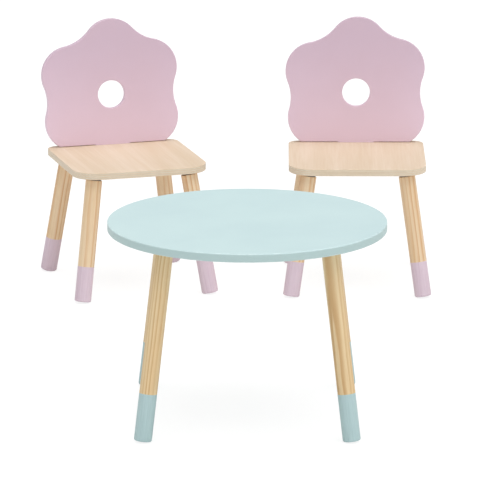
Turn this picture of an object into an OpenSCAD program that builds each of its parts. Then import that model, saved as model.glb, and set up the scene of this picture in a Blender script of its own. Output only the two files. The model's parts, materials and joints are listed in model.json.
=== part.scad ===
/* [Table] */
// Diameter of the round table top
table_d = 580; // [480:5:720]
// Height of the table top's upper face above the floor
table_h = 415; // [360:5:520]
// Thickness of the table top
table_t = 18; // [16:0.5:28]
// Radius of the eased edge of the table top
table_edge_r = 2; // [1:0.25:5]
// Diameter of a table leg
table_leg_d = 37; // [30:0.5:46]
// Lean of a table leg away from upright, in degrees
table_leg_tilt = 9.3; // [4:0.1:14]
// Distance from the rim in to where a leg's axis meets the underside
table_leg_inset = 52; // [35:1:120]

/* [Chair seat] */
// Width of the seat
seat_w = 316; // [260:2:380]
// Depth of the seat, front to back
seat_d = 308; // [260:2:380]
// Thickness of the plywood seat
seat_t = 16; // [15:0.5:22]
// Height of the seat's upper face above the floor
seat_h = 300; // [240:2:360]
// Corner radius at the front of the seat
seat_front_r = 58; // [20:1:80]
// Corner radius at the rear of the seat
seat_rear_r = 27; // [10:1:50]

/* [Chair back] */
// Thickness of the flower panel
back_t = 13; // [12:0.5:16]
// Lean of the panel away from upright, in degrees
back_tilt = 5; // [0:0.5:12]
// Distance from the seat's rear edge to the panel's rear face
back_inset = 7; // [5:0.5:20]
// Distance from the flower's middle to the tip of a lobe
flower_r = 177.5; // [145:0.5:190]
// Radius of a lobe
lobe_r = 68; // [56:0.5:82]
// Radius of the hollow arc between two lobes
valley_r = 100; // [60:1:130]
// How far the top lobe leans to the right of upright, in degrees
top_lobe_lean = 2; // [0:0.5:4]
// How far the two right lobes are spread from an even flower's, in degrees
right_lobe_spread = 2; // [0:0.5:3]
// How far the two left lobes are turned down from an even flower's, in degrees
left_lobe_drop = 3; // [0:0.5:4]
// How much of the lowest lobe the straight foot cuts off
foot_cut = 60.5; // [45:0.5:75]
// Radius of the round hand hole in the flower's middle
hand_hole_r = 32.5; // [20:0.5:45]
// Width of the tab that goes down through the seat
tab_w = 84; // [50:1:120]

/* [Chair legs] */
// Diameter of a chair leg
chair_leg_d = 38; // [30:0.5:44]
// Lean of a chair leg away from upright, in degrees
chair_leg_tilt = 11.4; // [4:0.1:16]
// Distance from the seat's side edge in to where a leg's axis meets the underside
chair_leg_inset_x = 46; // [38:1:70]
// The same distance from the seat's front or rear edge
chair_leg_inset_y = 34; // [30:1:60]

/* [Leg ends and fixings] */
// Rounding of a leg's lower end
foot_r = 4; // [1:0.5:8]
// Rounding of a leg's upper end
shoulder_r = 1; // [0.5:0.5:3]
// How far a steel washer's rim stays inside the leg's rim
washer_inset = 2.5; // [1:0.5:6]
// Diameter of a hanger bolt
bolt_d = 8; // [6:0.5:10]
// Length of a hanger bolt inside the leg
bolt_in_leg = 34; // [20:1:50]
// Outer diameter of a threaded insert
insert_d = 12; // [11:0.5:14]
// Length of a threaded insert
insert_l = 10; // [8:0.5:11]
// Diameter of the bolts that hold the back panel
back_bolt_d = 6; // [4:0.5:7]
// Distance from the tab's side to the axis of the back bolt beside it
back_bolt_gap = 33; // [12:1:50]
// Diameter of a barrel nut
barrel_d = 10; // [9:0.5:12]
// Wood left between a barrel nut's bore and the panel's front face
barrel_cover = 2; // [1:0.25:4]
// How far a barrel nut sits below the panel's rear face
barrel_sink = 1; // [0.5:0.25:2]
// Height of the barrel nuts above the panel's foot
barrel_rise = 30; // [20:1:40]

/* [Fits] */
// Radial clearance between a bolt or an insert and its bore
bore_gap = 0.05; // [0.02:0.01:0.2]
// Clearance between the tab and each side of its slot
slot_gap = 0.25; // [0.1:0.05:0.6]
// Clearance between faces that rest on each other
rest_gap = 0.05; // [0.02:0.01:0.2]
// Clearance left between a leg's shoulder and the panel above it, which the washer fills
shoulder_gap = 3.2; // [0.2:0.1:6]

/* [Layout] */
// Table's place across and in depth
table_at = [28, -520]; // [-900:1:900]
// Left chair's place across and in depth
left_chair_at = [-247, 590]; // [-900:1:900]
// Right chair's place across and in depth
right_chair_at = [284, 605]; // [-900:1:900]
// Turn of the left chair towards the table, in degrees
left_chair_turn = 16.5; // [0:0.5:30]
// Turn of the right chair, in degrees
right_chair_turn = -0.5; // [-30:0.5:0]

/* [Hidden] */
eps = 0.01;
over = 1;    // how far a cutter passes the face that it cuts
reach = 400; // longer than any cut needs to be
round_fn = 96;
small_fn = 48;

pine = "#E3C79F";
mint = "#CDE5E6";
pink = "#DDBFCB";
birch = "#ECD7BD";
steel = "#3C3C3F";
zinc = "#B9BDC2";

leg_names = ["front_left", "front_right", "rear_left", "rear_right"];
leg_sides = [[-1, -1], [1, -1], [-1, 1], [1, 1]];
chair_names = ["left", "right"];
chair_at = [left_chair_at, right_chair_at];
chair_turn = [left_chair_turn, right_chair_turn];

table_underside = table_h - table_t;
seat_underside = seat_h - seat_t;
back_y = seat_d / 2 - back_inset;  // rear face of the panel at its foot
washer_play = 0.6;        // how much wider a washer's hole is than its bolt
bolt_tip = 2;             // length of a hanger bolt's chamfered tip
bolt_head_t = 3.5;        // height of a back bolt's head
bolt_head_d = 2 * back_bolt_d;
bolt_head_sink = 5;       // depth of the pocket for a back bolt's head
bolt_head_play = 1;       // how much wider the pocket is than the head
bolt_past_nut = 3;        // how far a back bolt's end passes its barrel nut
back_bolt_x = tab_w / 2 + back_bolt_gap;
barrel_l = back_t - barrel_cover - barrel_sink;
tab_sink = 0.5;           // how far the tab's end stays inside the seat's underside

// A set of legs: [axis across, axis in depth, height of the underside, leg diameter, lean]
table_leg_reach = (table_d / 2 - table_leg_inset) / sqrt(2);
table_legs = [table_leg_reach, table_leg_reach, table_underside, table_leg_d, table_leg_tilt];
chair_legs = [seat_w / 2 - chair_leg_inset_x, seat_d / 2 - chair_leg_inset_y,
              seat_underside, chair_leg_d, chair_leg_tilt];

// Flower outline: every lobe's circle touches the tip circle from inside
lobe_angles = [-30 - right_lobe_spread, 30 + right_lobe_spread, 90 - top_lobe_lean,
               150 + left_lobe_drop, 210 + left_lobe_drop, 270];
lobes = len(lobe_angles);
lobe_c = flower_r - lobe_r;
flower_rise = flower_r - foot_cut;

function table_node(part) = str("table_", part);
function chair_node(side, part) = str("chair_", side, "_", part);
function leg_azimuth(side) = atan2(side[1], side[0]);

table_nodes = concat(
    ["table_top"],
    [for (n = leg_names) table_node(str("leg_", n))],
    [for (n = leg_names) table_node(str("washer_", n))],
    ["table_inserts", "table_hanger_bolts"]);
chair_nodes = [for (c = chair_names) each concat(
    [chair_node(c, "seat"), chair_node(c, "back")],
    [for (n = leg_names) chair_node(c, str("leg_", n))],
    [for (n = leg_names) chair_node(c, str("washer_", n))],
    [chair_node(c, "inserts"), chair_node(c, "hanger_bolts"),
     chair_node(c, "back_bolts"), chair_node(c, "barrel_nuts")])];

// ---------- places ----------

module at_table() {
    translate([table_at[0], table_at[1], 0]) children();
}

module at_chair(i) {
    translate([chair_at[i][0], chair_at[i][1], 0]) rotate(chair_turn[i]) children();
}

// Frame of one leg: origin where its axis meets the underside, -Z down the leg, +X outwards
module leg_frame(side, legs) {
    translate([side[0] * legs[0], side[1] * legs[1], legs[2]])
        rotate([0, -legs[4], leg_azimuth(side)])
            children();
}

// Frame of the back panel: origin on the rear lower edge, which rests on the seat
module back_frame() {
    translate([0, back_y, seat_h + rest_gap]) rotate([-back_tilt, 0, 0]) children();
}

// Frame of one back bolt: origin on the panel's foot, halfway through its thickness
module back_bolt_frame(sign) {
    back_frame() translate([sign * back_bolt_x, -back_t / 2, 0]) children();
}

// ---------- legs and their fixings ----------

// Height of a leg's top face in its own frame: its outer rim just clears the underside
function leg_top(legs) =
    let (d = legs[3], tilt = legs[4])
    shoulder_r - ((d / 2 - shoulder_r) * sin(tilt) + shoulder_r + shoulder_gap) / cos(tilt);

// Length from the underside down to the foot face: the inner rim touches the floor
function leg_drop(legs) =
    let (z = legs[2], d = legs[3], tilt = legs[4])
    (z - (d / 2 - foot_r) * sin(tilt) - foot_r) / cos(tilt) + foot_r;

// Height of an insert's outer end in the leg's frame: just inside the underside
function insert_start(legs) = (insert_d / 2 * sin(legs[4]) + rest_gap) / cos(legs[4]);

// Round rod with eased ends, as a turned profile: r0 rounds the lower end and r1 the upper
module rod(r, z0, z1, r0, r1) {
    rotate_extrude($fn = round_fn) {
        translate([0, z0]) square([r - max(r0, r1), z1 - z0]);
        translate([0, z0]) square([r - r0, r0 + eps]);
        translate([0, z1 - r1 - eps]) square([r - r1, r1 + eps]);
        translate([0, z0 + r0]) square([r, z1 - z0 - r0 - r1]);
        translate([r - r0, z0 + r0]) circle(r0, $fn = small_fn);
        translate([r - r1, z1 - r1]) circle(r1, $fn = small_fn);
    }
}

// Rod with a chamfered tip at each end
module bolt_rod(d, z0, z1) {
    rotate_extrude($fn = small_fn)
        polygon([[0, z0], [d / 2 - bolt_tip / 2, z0], [d / 2, z0 + bolt_tip],
                 [d / 2, z1 - bolt_tip / 2], [d / 2 - bolt_tip / 2, z1], [0, z1]]);
}

module leg(side, legs) {
    top = leg_top(legs);
    leg_frame(side, legs) difference() {
        rod(legs[3] / 2, -leg_drop(legs), top, foot_r, shoulder_r);
        translate([0, 0, top - bolt_in_leg - over])
            cylinder(d = bolt_d + 2 * bore_gap, h = bolt_in_leg + 2 * over, $fn = small_fn);
    }
}

// Wedge of steel between the leg's square top and the flat underside
module washer(side, legs) {
    top = leg_top(legs);
    d = legs[3];
    intersection() {
        leg_frame(side, legs) difference() {
            translate([0, 0, top + rest_gap]) cylinder(d = d - 2 * washer_inset, h = d, $fn = round_fn);
            translate([0, 0, top - over])
                cylinder(d = bolt_d + washer_play, h = d + 2 * over, $fn = small_fn);
        }
        translate([side[0] * legs[0] - d, side[1] * legs[1] - d, legs[2] - rest_gap - d])
            cube([2 * d, 2 * d, d]);
    }
}

module insert(side, legs) {
    leg_frame(side, legs) translate([0, 0, insert_start(legs)]) difference() {
        cylinder(d = insert_d, h = insert_l, $fn = small_fn);
        translate([0, 0, -over])
            cylinder(d = bolt_d + 2 * bore_gap, h = insert_l + 2 * over, $fn = small_fn);
    }
}

module hanger_bolt(side, legs) {
    leg_frame(side, legs)
        bolt_rod(bolt_d, leg_top(legs) - bolt_in_leg, insert_start(legs) + insert_l - rest_gap);
}

// Bore for one insert, entered from below
module insert_bore(side, legs) {
    leg_frame(side, legs) translate([0, 0, -insert_d])
        cylinder(d = insert_d + 2 * bore_gap,
                 h = insert_d + insert_start(legs) + insert_l + rest_gap, $fn = small_fn);
}

// ---------- table ----------

module table_top() {
    color(mint) at_table() difference() {
        rotate_extrude($fn = 2 * round_fn) {
            translate([0, table_underside]) square([table_d / 2 - table_edge_r, table_t]);
            translate([0, table_underside + table_edge_r])
                square([table_d / 2, table_t - 2 * table_edge_r]);
            for (z = [table_underside + table_edge_r, table_h - table_edge_r])
                translate([table_d / 2 - table_edge_r, z]) circle(table_edge_r, $fn = small_fn);
        }
        for (side = leg_sides) insert_bore(side, table_legs);
    }
}

module table_leg(side) {
    color(pine) at_table() leg(side, table_legs);
}

module table_washer(side) {
    color(steel) at_table() washer(side, table_legs);
}

module table_inserts() {
    color(zinc) at_table() for (side = leg_sides) insert(side, table_legs);
}

module table_hanger_bolts() {
    color(zinc) at_table() for (side = leg_sides) hanger_bolt(side, table_legs);
}

// ---------- chair ----------

module seat_outline() {
    for (sx = [-1, 1]) {
        translate([sx * (seat_w / 2 - seat_front_r), -seat_d / 2 + seat_front_r])
            circle(seat_front_r, $fn = round_fn);
        translate([sx * (seat_w / 2 - seat_rear_r), seat_d / 2 - seat_rear_r])
            circle(seat_rear_r, $fn = round_fn);
    }
    translate([-seat_w / 2 + seat_front_r, -seat_d / 2])
        square([seat_w - 2 * seat_front_r, seat_front_r + eps]);
    translate([-seat_w / 2, -seat_d / 2 + seat_front_r])
        square([seat_w, seat_d - seat_front_r - seat_rear_r]);
    translate([-seat_w / 2 + seat_rear_r, seat_d / 2 - seat_rear_r - eps])
        square([seat_w - 2 * seat_rear_r, seat_rear_r + eps]);
}

module chair_seat(i) {
    color(birch) at_chair(i) difference() {
        translate([0, 0, seat_underside]) linear_extrude(seat_t) seat_outline();
        // slot for the tab, cut at the panel's lean
        back_frame() translate([-tab_w / 2 - slot_gap, -back_t - slot_gap, -reach / 2])
            cube([tab_w + 2 * slot_gap, back_t + 2 * slot_gap, reach]);
        for (side = leg_sides) insert_bore(side, chair_legs);
        // bolt holes of twice the clearance, with pockets for the heads, at the same lean
        for (s = [-1, 1]) back_bolt_frame(s) {
            translate([0, 0, -reach / 2])
                cylinder(d = back_bolt_d + 2 * (2 * bore_gap), h = reach, $fn = small_fn);
            translate([0, 0, -reach / 2 - seat_t + bolt_head_sink])
                cylinder(d = bolt_head_d + bolt_head_play, h = reach / 2, $fn = small_fn);
        }
    }
}

function spoke(r, angle) = r * [cos(angle), sin(angle)];

// Angle from one lobe to the next, going left round
function lobe_gap(k) = k < lobes - 1 ? lobe_angles[k + 1] - lobe_angles[k]
                                     : 360 + lobe_angles[0] - lobe_angles[k];

// Centre of the hollow arc that touches lobe k and the next
function valley_at(k) =
    let (along = lobe_c * cos(lobe_gap(k) / 2), across = lobe_c * sin(lobe_gap(k) / 2))
    spoke(along + sqrt(pow(lobe_r + valley_r, 2) - pow(across, 2)), lobe_angles[k] + lobe_gap(k) / 2);

// Flower of round lobes joined by valley arcs, its middle at the origin
module flower_outline() {
    difference() {
        union() {
            for (a = lobe_angles) translate(spoke(lobe_c, a)) circle(lobe_r, $fn = round_fn);
            polygon([for (k = [0:lobes - 1], v = [valley_at((k + lobes - 1) % lobes), valley_at(k)])
                let (c = spoke(lobe_c, lobe_angles[k]))
                c + lobe_r * (v - c) / norm(v - c)]);
        }
        for (k = [0:lobes - 1]) translate(valley_at(k)) circle(valley_r, $fn = 2 * round_fn);
    }
}

module chair_back(i) {
    tab_l = (seat_t - tab_sink) / cos(back_tilt);
    color(pink) at_chair(i) back_frame() difference() {
        rotate([90, 0, 0]) linear_extrude(back_t) {
            difference() {
                translate([0, flower_rise]) flower_outline();
                translate([-reach, -reach]) square([2 * reach, reach]);
                translate([0, flower_rise]) circle(hand_hole_r, $fn = round_fn);
            }
            translate([-tab_w / 2, -tab_l]) square([tab_w, tab_l + over]);
        }
        for (s = [-1, 1]) {
            // bolt bore up to the barrel nut, and the nut's own blind bore from behind
            translate([s * back_bolt_x, -back_t / 2, -over])
                cylinder(d = back_bolt_d + 2 * bore_gap, h = barrel_rise + barrel_d + over,
                         $fn = small_fn);
            translate([s * back_bolt_x, over, barrel_rise]) rotate([90, 0, 0])
                cylinder(d = barrel_d + 2 * bore_gap, h = back_t - barrel_cover + over,
                         $fn = small_fn);
        }
    }
}

module chair_leg(i, side) {
    color(pine) at_chair(i) leg(side, chair_legs);
}

module chair_washer(i, side) {
    color(steel) at_chair(i) washer(side, chair_legs);
}

module chair_inserts(i) {
    color(zinc) at_chair(i) for (side = leg_sides) insert(side, chair_legs);
}

module chair_hanger_bolts(i) {
    color(zinc) at_chair(i) for (side = leg_sides) hanger_bolt(side, chair_legs);
}

module chair_back_bolts(i) {
    color(zinc) at_chair(i) for (s = [-1, 1]) back_bolt_frame(s) {
        head_z = -seat_t + bolt_head_sink;
        translate([0, 0, head_z - bolt_head_t - rest_gap])
            cylinder(d = bolt_head_d, h = bolt_head_t, $fn = small_fn);
        translate([0, 0, head_z - bolt_head_t / 2])
            cylinder(d = back_bolt_d, $fn = small_fn,
                     h = barrel_rise + barrel_d / 2 + bolt_past_nut - head_z + bolt_head_t / 2);
    }
}

module chair_barrel_nuts(i) {
    color(steel) at_chair(i) back_frame() for (s = [-1, 1])
        translate([s * back_bolt_x, -barrel_sink, barrel_rise]) rotate([90, 0, 0]) difference() {
            cylinder(d = barrel_d, h = barrel_l - rest_gap, $fn = small_fn);
            translate([0, -barrel_d, back_t / 2 - barrel_sink]) rotate([-90, 0, 0])
                cylinder(d = back_bolt_d + 2 * bore_gap, h = 2 * barrel_d, $fn = small_fn);
        }
}

// ---------- assembly ----------

table_top();
table_inserts();
table_hanger_bolts();

for (k = [0:3]) {
    table_leg(leg_sides[k]);
    table_washer(leg_sides[k]);
}

for (i = [0:1]) {
    chair_seat(i);
    chair_back(i);
    chair_inserts(i);
    chair_hanger_bolts(i);
    chair_back_bolts(i);
    chair_barrel_nuts(i);
    for (k = [0:3]) {
        chair_leg(i, leg_sides[k]);
        chair_washer(i, leg_sides[k]);
    }
}
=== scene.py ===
"""Looks of a children's round table and two flower-backed chairs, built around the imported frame.

Sizes are in millimetres in the classes below, and meshes are put into the row frame in metres.
"""

import json
import logging
import math
from dataclasses import dataclass, field
from enum import Enum
from typing import Any, Optional, Sequence, Union

import bpy
import numpy as np
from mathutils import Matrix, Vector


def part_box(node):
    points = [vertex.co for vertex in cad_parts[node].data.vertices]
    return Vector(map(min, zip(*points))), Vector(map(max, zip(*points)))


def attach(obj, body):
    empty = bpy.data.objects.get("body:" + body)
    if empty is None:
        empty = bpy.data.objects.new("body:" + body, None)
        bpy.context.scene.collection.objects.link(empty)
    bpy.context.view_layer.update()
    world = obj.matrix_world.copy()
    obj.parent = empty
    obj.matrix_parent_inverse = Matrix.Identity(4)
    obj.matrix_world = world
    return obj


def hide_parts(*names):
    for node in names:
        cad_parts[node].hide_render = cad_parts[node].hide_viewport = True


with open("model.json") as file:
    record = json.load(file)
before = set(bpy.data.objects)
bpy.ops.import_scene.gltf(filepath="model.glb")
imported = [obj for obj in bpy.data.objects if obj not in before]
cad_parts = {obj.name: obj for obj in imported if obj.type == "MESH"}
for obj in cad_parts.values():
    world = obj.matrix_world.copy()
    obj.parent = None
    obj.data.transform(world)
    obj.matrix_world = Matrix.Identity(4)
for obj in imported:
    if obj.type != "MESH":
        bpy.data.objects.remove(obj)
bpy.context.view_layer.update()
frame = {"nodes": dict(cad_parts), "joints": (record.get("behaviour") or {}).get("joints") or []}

MM = 0.001
SHARP_ANGLE = math.radians(35)

log = logging.getLogger("furniture")


class Slot(Enum):
    """The record's material slots."""

    MINT_PAINT = "mint_paint"
    PINK_PAINT = "pink_paint"
    PLYWOOD = "birch_plywood"
    TABLE_PINE = "table_leg_pine"
    CHAIR_PINE = "chair_leg_pine"
    DARK_STEEL = "dark_steel"
    ZINC_STEEL = "zinc_steel"


class Corner(Enum):
    """The four corners where a leg stands, as signs across and in depth."""

    FRONT_LEFT = (-1, -1)
    FRONT_RIGHT = (1, -1)
    REAR_LEFT = (-1, 1)
    REAR_RIGHT = (1, 1)

    @property
    def label(self) -> str:
        """The corner's part of a piece's name."""
        return self.name.lower()


# ---------- surfaces ----------


@dataclass
class Surface:
    """A closed surface as arrays.

    Attributes:
        points: Corner places, one row each.
        faces: Arrays of quads and of triangles, by corner number.
        values: Numbers or vectors kept at the corners, by name.
    """

    points: np.ndarray
    faces: list[np.ndarray]
    values: dict[str, np.ndarray] = field(default_factory=dict)

    def volume(self) -> float:
        """Six times the enclosed volume, negative if the faces point inwards."""
        total = 0.0
        for block in self.faces:
            corners = self.points[block]
            for k in range(1, block.shape[1] - 1):
                cross = np.cross(corners[:, k], corners[:, k + 1])
                total += float(np.einsum("ij,ij->", corners[:, 0], cross))
        return total

    def outward(self) -> "Surface":
        """Turns the faces round if they point inwards."""
        if self.volume() < 0:
            self.faces = [block[:, ::-1] for block in self.faces]
        return self

    def mesh(self, name: str) -> bpy.types.Mesh:
        """Makes the Blender mesh, smooth but for its sharp edges.

        Args:
            name: Name of the mesh.

        Returns:
            The mesh, with the surface's values as attributes.
        """
        made = bpy.data.meshes.new(name)
        polygons = [row for block in self.faces for row in block.tolist()]
        made.from_pydata(self.points.tolist(), [], polygons)
        for key, value in self.values.items():
            vector = value.ndim == 2
            kind, part = ("FLOAT_VECTOR", "vector") if vector else ("FLOAT", "value")
            attribute = made.attributes.new(key, kind, "POINT")
            attribute.data.foreach_set(part, value.astype(np.float32).ravel())
        made.polygons.foreach_set("use_smooth", np.ones(len(polygons), bool))
        made.set_sharp_from_angle(angle=SHARP_ANGLE)
        made.validate()
        return made


def grid_quads(rows: int, columns: int, closed: bool) -> np.ndarray:
    """Quads of a grid whose columns run round, numbered row by row.

    Args:
        rows: Number of rows.
        columns: Number of columns; the last joins the first.
        closed: True if the last row joins the first as well.

    Returns:
        One row of four corner numbers for each quad.
    """
    r = np.arange(rows if closed else rows - 1)[:, None]
    c = np.arange(columns)[None, :]
    r_next, c_next = (r + 1) % rows, (c + 1) % columns
    corners = [r * columns + c, r * columns + c_next,
               r_next * columns + c_next, r_next * columns + c]
    return np.stack(corners, axis=-1).reshape(-1, 4)


def arc(centre: Sequence[float], radius: float, start: float, end: float, steps: int) -> np.ndarray:
    """Points along an arc, centre plus radius times (cos a, sin a).

    Args:
        centre: The arc's centre.
        radius: Its radius.
        start: First angle in degrees.
        end: Last angle in degrees.
        steps: Number of steps between them.

    Returns:
        steps + 1 points, one row each.
    """
    a = np.radians(np.linspace(start, end, steps + 1))
    return np.asarray(centre, float) + radius * np.column_stack([np.cos(a), np.sin(a)])


def spoke(length: float, angle: float) -> np.ndarray:
    """A point at a distance and an angle in degrees from the origin."""
    return length * np.array([math.cos(math.radians(angle)), math.sin(math.radians(angle))])


def heading(step: np.ndarray) -> float:
    """The angle of a step, in degrees."""
    return math.degrees(math.atan2(step[1], step[0]))


def turned(profile: np.ndarray, steps: int, closed: bool = False) -> Surface:
    """Turns a profile round the z axis: (r, z) at turn a goes to (r cos a, r sin a, z).

    Args:
        profile: Rows of (r, z). Unless closed, the first and last stand on the axis.
        steps: Number of steps round.
        closed: True for a ring, whose profile is a loop.

    Returns:
        The surface, with poles closed by fans of triangles.
    """
    a = np.linspace(0, 2 * math.pi, steps, endpoint=False)
    body = profile if closed else profile[1:-1]
    r, z = body[:, :1], body[:, 1:]
    grid = np.stack([r * np.cos(a), r * np.sin(a), np.broadcast_to(z, (len(body), steps))], axis=-1)
    points = grid.reshape(-1, 3)
    faces = [grid_quads(len(body), steps, closed)]
    if not closed:
        poles = np.array([[0, 0, profile[0, 1]], [0, 0, profile[-1, 1]]])
        first, last = len(points), len(points) + 1
        k = np.arange(steps)
        after = (k + 1) % steps
        end_row = (len(body) - 1) * steps
        points = np.vstack([points, poles])
        faces.append(np.column_stack([np.full(steps, first), after, k]))
        faces.append(np.column_stack([np.full(steps, last), end_row + k, end_row + after]))
    return Surface(points, faces).outward()


@dataclass(frozen=True)
class Slab:
    """A board between an outer outline and an opening, with eased edges.

    Attributes:
        outer: Points of the outer outline, one row each.
        outer_in: For each, the step into the wood that moves the edge in by one.
        inner: Points of the opening, facing the outer points one for one.
        inner_in: For each, the step into the wood.
        thickness: The board's thickness.
        ease: Rounding of the outer outline's edges.
        inner_ease: Rounding of the opening's edges.
        drift: Sideways shift of the opening from the first face to the second.
    """

    outer: np.ndarray
    outer_in: np.ndarray
    inner: np.ndarray
    inner_in: np.ndarray
    thickness: float
    ease: float
    inner_ease: float
    drift: tuple[float, float] = (0.0, 0.0)

    EASE_STEPS = 6
    HOLD = 0.25
    RINGS = 5

    def _edge(self, ease: float) -> np.ndarray:
        """Rows of (step in, depth) from the first face over the edge to the second face."""
        t = np.radians(np.linspace(0, 90, self.EASE_STEPS + 1))
        over = np.column_stack([ease * (1 - np.sin(t)), ease * (1 - np.cos(t))])
        near = np.vstack([[ease + self.HOLD, 0], over, [0, ease + self.HOLD]])
        far = near[::-1] * [1, -1] + [0, self.thickness]
        return np.vstack([near, far])

    def surface(self) -> Surface:
        """Carries the edge profile round both outlines and joins the faces by straight rings.

        Returns:
            A ring-like surface; the third coordinate is the depth, 0 on the first face.
        """
        rows, easing = [], []
        outer_edge, inner_edge = self._edge(self.ease), self._edge(self.inner_ease)
        for step, depth in outer_edge:
            rows.append(np.column_stack([self.outer + step * self.outer_in,
                                         np.full(len(self.outer), depth)]))
            middle = self.ease < depth < self.thickness - self.ease
            easing.append(float(step < self.ease and not middle))
        back = []
        for step, depth in inner_edge[::-1]:
            shift = np.array(self.drift) * depth / self.thickness
            back.append(np.column_stack([self.inner + shift + step * self.inner_in,
                                         np.full(len(self.inner), depth)]))
        shares = np.linspace(0, 1, self.RINGS + 2)[1:-1]
        across = [rows[-1] * (1 - s) + back[0] * s for s in shares]
        home = [back[-1] * (1 - s) + rows[0] * s for s in shares]
        grid = np.array(rows + across + back + home)
        flat = [0.0] * (len(grid) - len(easing))
        values = {"easing": np.repeat(np.array(easing + flat), grid.shape[1])}
        faces = [grid_quads(grid.shape[0], grid.shape[1], True)]
        return Surface(grid.reshape(-1, 3), faces, values)


# ---------- places ----------


@dataclass(frozen=True)
class Place:
    """Where a sub-assembly stands in the row frame.

    Attributes:
        x: Its middle, across, in metres.
        y: Its middle, in depth, in metres.
        turn: Its turn about the vertical, in radians.
    """

    x: float
    y: float
    turn: float = 0.0

    def to_row(self, points: np.ndarray) -> np.ndarray:
        """Turns and moves points from millimetres here to metres in the row frame."""
        c, s = math.cos(self.turn), math.sin(self.turn)
        spun = points @ np.array([[c, s, 0], [-s, c, 0], [0, 0, 1]])
        return spun * MM + [self.x, self.y, 0]


def node_points(node: str) -> np.ndarray:
    """Corner places of a CAD node, in metres in the row frame."""
    data = frame["nodes"][node].data
    flat = np.zeros(len(data.vertices) * 3, np.float32)
    data.vertices.foreach_get("co", flat)
    return flat.reshape(-1, 3).astype(float)


def table_place() -> Place:
    """The table's place, from its top's box."""
    lo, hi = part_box("table_top")
    return Place((lo.x + hi.x) / 2, (lo.y + hi.y) / 2)


def chair_place(body: str) -> Place:
    """A chair's place: its turn from the way it slides, its middle from its seat.

    Args:
        body: Name of the chair's body.

    Returns:
        The place of the seat's middle.
    """
    axis = next(j["axis"] for j in frame["joints"] if j["child"] == body)
    turn = math.atan2(axis[0], -axis[1])
    c, s = math.cos(turn), math.sin(turn)
    level = node_points(f"{body}_seat")[:, :2] @ np.array([[c, -s], [s, c]])
    mid = (level.min(0) + level.max(0)) / 2
    return Place(mid[0] * c - mid[1] * s, mid[0] * s + mid[1] * c, turn)


def put(surface: Surface, name: str, body: str, slot: Slot, finish: bpy.types.Material,
        *nodes: str) -> bpy.types.Object:
    """Makes a piece of a surface that already stands in the row frame.

    Args:
        surface: The surface, in metres.
        name: Name of the piece.
        body: The CAD body it rides on.
        slot: The record's slot its finish comes from; not used.
        finish: Its material.
        nodes: The CAD nodes it stands for.

    Returns:
        The new object.
    """
    mesh = surface.outward().mesh(name)
    mesh.materials.append(finish)
    piece = bpy.data.objects.new(name, mesh)
    bpy.context.scene.collection.objects.link(piece)
    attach(piece, body)
    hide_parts(*nodes)
    log.info("%s: %d faces for %s", name, len(mesh.polygons), ", ".join(nodes))
    return piece


def cut(piece: bpy.types.Object, cutters: Sequence[Surface]) -> None:
    """Takes closed surfaces away from a piece and keeps the result as its mesh.

    Args:
        piece: The piece to cut.
        cutters: Surfaces in the row frame.
    """
    tools = []
    for k, cutter in enumerate(cutters):
        tool = bpy.data.objects.new(f"cutter_{k}", cutter.outward().mesh(f"cutter_{k}"))
        bpy.context.scene.collection.objects.link(tool)
        step = piece.modifiers.new(f"cut_{k}", "BOOLEAN")
        step.operation, step.solver, step.object = "DIFFERENCE", "EXACT", tool
        tools.append(tool)
    bpy.context.view_layer.update()
    graph = bpy.context.evaluated_depsgraph_get()
    shaped = bpy.data.meshes.new_from_object(piece.evaluated_get(graph), depsgraph=graph)
    piece.modifiers.clear()
    old, piece.data = piece.data, shaped
    shaped.name = old.name + "_cut"
    shaped.set_sharp_from_angle(angle=SHARP_ANGLE)
    bpy.data.meshes.remove(old)
    for tool in tools:
        data = tool.data
        bpy.data.objects.remove(tool)
        bpy.data.meshes.remove(data)


def rod_between(radius: float, z0: float, z1: float, steps: int = 48) -> Surface:
    """A plain upright bar from z0 to z1, used as a cutter."""
    return turned(np.array([[0, z0], [radius, z0], [radius, z1], [0, z1]]), steps)


# ---------- shader expressions ----------

Operand = Union["Term", float]


@dataclass(frozen=True)
class Term:
    """A socket that takes part in Python expressions; each operator adds a Math node."""

    board: "Board"
    socket: bpy.types.NodeSocket

    def __add__(self, other: Operand) -> "Term":
        """Sum."""
        return self.board.math("ADD", self, other)

    __radd__ = __add__

    def __sub__(self, other: Operand) -> "Term":
        """Difference."""
        return self.board.math("SUBTRACT", self, other)

    def __rsub__(self, other: Operand) -> "Term":
        """Difference from a number."""
        return self.board.math("SUBTRACT", other, self)

    def __mul__(self, other: Operand) -> "Term":
        """Product."""
        return self.board.math("MULTIPLY", self, other)

    __rmul__ = __mul__

    def __truediv__(self, other: Operand) -> "Term":
        """Quotient."""
        return self.board.math("DIVIDE", self, other)

    def __pow__(self, other: Operand) -> "Term":
        """Power."""
        return self.board.math("POWER", self, other)

    def fraction(self) -> "Term":
        """What is left above the whole number below."""
        return self.board.math("FRACT", self)

    def whole(self) -> "Term":
        """The whole number below."""
        return self.board.math("FLOOR", self)

    def size(self) -> "Term":
        """The value without its sign."""
        return self.board.math("ABSOLUTE", self)

    def at_most(self, limit: float) -> "Term":
        """The value, or the limit if that is lower."""
        return self.board.math("MINIMUM", self, limit)

    def at_least(self, limit: float) -> "Term":
        """The value, or the limit if that is higher."""
        return self.board.math("MAXIMUM", self, limit)

    def rise(self, low: float, high: float) -> "Term":
        """0 below low, 1 above high, and a smooth step between."""
        node = self.board.add("ShaderNodeMapRange", {"interpolation_type": "SMOOTHSTEP"},
                              {0: self, 1: low, 2: high})
        return self.board.out(node)


def colour(code: str) -> tuple[float, float, float, float]:
    """A colour code such as #E3C79F as linear red, green and blue, with full cover."""
    parts = [int(code[k:k + 2], 16) / 255 for k in (1, 3, 5)]
    linear = [p / 12.92 if p <= 0.04045 else ((p + 0.055) / 1.055) ** 2.4 for p in parts]
    return (linear[0], linear[1], linear[2], 1.0)


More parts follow.
